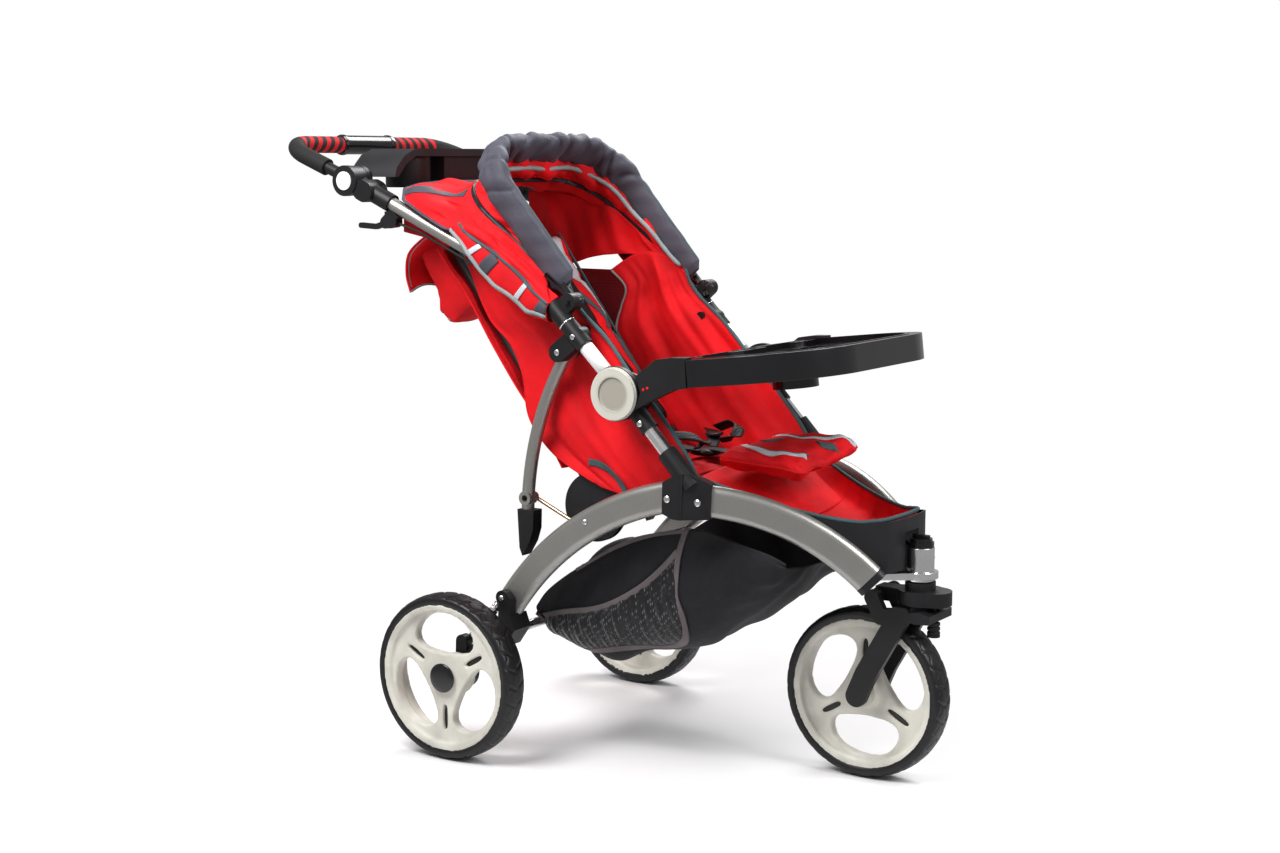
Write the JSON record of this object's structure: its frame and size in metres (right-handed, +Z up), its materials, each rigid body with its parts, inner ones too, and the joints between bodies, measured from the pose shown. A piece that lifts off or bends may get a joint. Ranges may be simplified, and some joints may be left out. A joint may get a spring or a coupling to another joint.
{
  "type": "jogging stroller",
  "caption": "Three-wheel jogging stroller: arched frame, swivelling front wheel, folding handle, reclining padded seat, canopy, child tray and storage basket.",
  "frame": {"origin": "on the floor, under the middle of the bounding box", "axes": "+X forward in the direction of travel, +Y to the left, +Z up"},
  "size_m": [1.2932, 0.679, 1.1152],
  "materials": {
    "silver_paint": "satin metallic paint",
    "bright_alu": "polished",
    "steel": "bright zinc",
    "copper_steel": "yellow zinc",
    "black_plastic": "fine texture",
    "gloss_black": "gloss",
    "charcoal_plastic": "fine texture",
    "ivory_plastic": "satin",
    "white_plastic": "satin",
    "red_plastic": "gloss",
    "red_fabric": "woven",
    "slate_fabric": "woven",
    "black_fabric": "woven",
    "webbing": "woven webbing",
    "foam": "closed-cell foam",
    "rubber": "matte",
    "tyre": "moulded foam tread"
  },
  "bodies": {
    "chassis": {"rear_arches": "silver_paint", "front_arches": "silver_paint", "arch_end_caps": "black_plastic", "y_junctions": "black_plastic", "lower_tubes": "bright_alu", "fold_hubs": "black_plastic", "hub_caps": "ivory_plastic", "tray_connectors": "black_plastic", "rear_beam": "steel", "rear_housings": "black_plastic", "head_tube": "bright_alu", "footwell_shell": "charcoal_plastic", "footwell_liner": "red_fabric", "seat_base": "red_fabric", "harness": "webbing", "side_panels": "red_fabric", "basket": "black_fabric", "chassis_screws": "steel", "rear_spring_left": "steel", "rear_spring_right": "steel"},
    "upper_frame": {"upper_tubes": "silver_paint", "upper_brackets": "black_plastic", "handle_housings": "black_plastic", "console": "charcoal_plastic", "brake_clamp": "black_plastic", "brake_cable": "rubber", "side_wings": "red_fabric", "canopy_cloth": "red_fabric"},
    "prop_struts": {"prop_struts": "silver_paint", "strut_feet": "black_plastic"},
    "link_rods": {"link_rods": "copper_steel"},
    "handlebar": {"handlebar_tube": "black_plastic", "foam_grips": "foam", "grip_barrel": "gloss_black"},
    "tilt_button_left": {"tilt_button_left": "white_plastic"},
    "tilt_button_right": {"tilt_button_right": "white_plastic"},
    "brake_lever": {"brake_lever": "black_plastic"},
    "recline_hubs": {"recline_hubs": "charcoal_plastic"},
    "backrest": {"backrest_frame": "charcoal_plastic", "backrest_pad": "red_fabric", "rear_pocket": "red_fabric"},
    "calf_rest": {"calf_pad": "red_fabric"},
    "canopy_mid": {"canopy_mid_bow": "charcoal_plastic"},
    "canopy_front": {"canopy_front_bow": "charcoal_plastic", "canopy_sleeve": "slate_fabric"},
    "tray": {"tray_bar": "gloss_black", "tray_top": "gloss_black"},
    "buckle_button": {"buckle_button": "red_plastic"},
    "swivel_knob": {"swivel_knob": "gloss_black"},
    "fork_crown": {"fork_crown": "black_plastic", "elastomer": "rubber"},
    "fork": {"fork_legs": "black_plastic"},
    "front_wheel": {"front_rim": "ivory_plastic", "front_tyre": "tyre"},
    "rear_arm_left": {"rear_arm_left": "black_plastic"},
    "rear_arm_right": {"rear_arm_right": "black_plastic"},
    "rear_wheel_left": {"rear_rim_left": "ivory_plastic", "rear_tyre_left": "tyre"},
    "rear_wheel_right": {"rear_rim_right": "ivory_plastic", "rear_tyre_right": "tyre"}
  },
  "joints": [
    {"name": "fold", "type": "hinge", "parent": "chassis", "child": "upper_frame", "pos_m": [0.13863, 0, 0.672], "axis": [0, -1, 0], "range_deg": [0, 54]},
    {"name": "strut_pivot", "type": "hinge", "parent": "upper_frame", "child": "prop_struts", "pos_m": [0.00563, 0, 0.734], "axis": [0, -1, 0], "range_deg": [-52, 1]},
    {"name": "link_pivot", "type": "hinge", "parent": "chassis", "child": "link_rods", "pos_m": [0.03563, 0, 0.414], "axis": [0, -1, 0], "range_deg": [0, 67]},
    {"name": "seat_hub_turn", "type": "hinge", "parent": "chassis", "child": "recline_hubs", "pos_m": [0.03563, 0, 0.455], "axis": [0, -1, 0], "range_deg": [0, 75]},
    {"name": "recline", "type": "hinge", "parent": "recline_hubs", "child": "backrest", "pos_m": [0.03563, 0, 0.455], "axis": [0, -1, 0], "range_deg": [-5, 10]},
    {"name": "handlebar_tilt", "type": "hinge", "parent": "upper_frame", "child": "handlebar", "pos_m": [-0.45637, 0, 1.027], "axis": [0, -1, 0], "range_deg": [-40, 40]},
    {"name": "tilt_button_left_press", "type": "slide", "parent": "upper_frame", "child": "tilt_button_left", "axis": [0, -1, 0], "range_m": [0, 0.004]},
    {"name": "tilt_button_right_press", "type": "slide", "parent": "upper_frame", "child": "tilt_button_right", "axis": [0, 1, 0], "range_m": [0, 0.004]},
    {"name": "brake_lever_pull", "type": "hinge", "parent": "upper_frame", "child": "brake_lever", "pos_m": [-0.3747, -0.233, 0.95188], "axis": [0, 1, 0], "range_deg": [0, 20]},
    {"name": "canopy_open", "type": "hinge", "parent": "upper_frame", "child": "canopy_mid", "pos_m": [0.02963, 0, 0.823], "axis": [0, 1, 0], "range_deg": [0, 45]},
    {"name": "canopy_front_turn", "type": "hinge", "parent": "canopy_mid", "child": "canopy_front", "pos_m": [0.02963, 0, 0.823], "axis": [0, 1, 0], "range_deg": [0, 45]},
    {"name": "tray_slide", "type": "slide", "parent": "chassis", "child": "tray", "axis": [0.9936, 0, 0.1132], "range_m": [0, 0.11]},
    {"name": "buckle_press", "type": "slide", "parent": "chassis", "child": "buckle_button", "axis": [0, 0, -1], "range_m": [0, 0.002]},
    {"name": "calf_rest_drop", "type": "hinge", "parent": "chassis", "child": "calf_rest", "pos_m": [0.24663, 0, 0.54], "axis": [0, 1, 0], "range_deg": [0, 24]},
    {"name": "swivel_lock", "type": "hinge", "parent": "chassis", "child": "swivel_knob", "pos_m": [0.59063, 0, 0.425], "axis": [0, 0, 1], "range_deg": [0, 90]},
    {"name": "fork_swivel", "type": "hinge", "parent": "chassis", "child": "fork_crown", "pos_m": [0.59063, 0, 0.36], "axis": [0, 0, 1], "continuous": true},
    {"name": "front_suspension", "type": "hinge", "parent": "fork_crown", "child": "fork", "pos_m": [0.52063, 0, 0.327], "axis": [0, 1, 0], "range_deg": [0, 3.5], "deforming": ["elastomer"]},
    {"name": "front_wheel_spin", "type": "hinge", "parent": "fork", "child": "front_wheel", "pos_m": [0.49363, 0, 0.15], "axis": [0, 1, 0], "continuous": true},
    {"name": "rear_left_suspension", "type": "hinge", "parent": "chassis", "child": "rear_arm_left", "pos_m": [-0.11737, 0.233, 0.222], "axis": [0, 1, 0], "range_deg": [0, 8], "deforming": ["rear_spring_left"]},
    {"name": "rear_right_suspension", "type": "hinge", "parent": "chassis", "child": "rear_arm_right", "pos_m": [-0.11737, -0.233, 0.222], "axis": [0, 1, 0], "range_deg": [0, 8], "deforming": ["rear_spring_right"]},
    {"name": "rear_left_wheel_spin", "type": "hinge", "parent": "rear_arm_left", "child": "rear_wheel_left", "pos_m": [-0.17937, 0.3125, 0.15], "axis": [0, 1, 0], "continuous": true},
    {"name": "rear_right_wheel_spin", "type": "hinge", "parent": "rear_arm_right", "child": "rear_wheel_right", "pos_m": [-0.17937, -0.3125, 0.15], "axis": [0, 1, 0], "continuous": true}
  ],
  "couplings": [
    {"joint": "strut_pivot", "follows": "fold", "ratio": -0.9323},
    {"joint": "link_pivot", "follows": "fold", "ratio": 1.2082},
    {"joint": "seat_hub_turn", "follows": "fold", "ratio": 1.35},
    {"joint": "canopy_front_turn", "follows": "canopy_open", "ratio": 1}
  ]
}
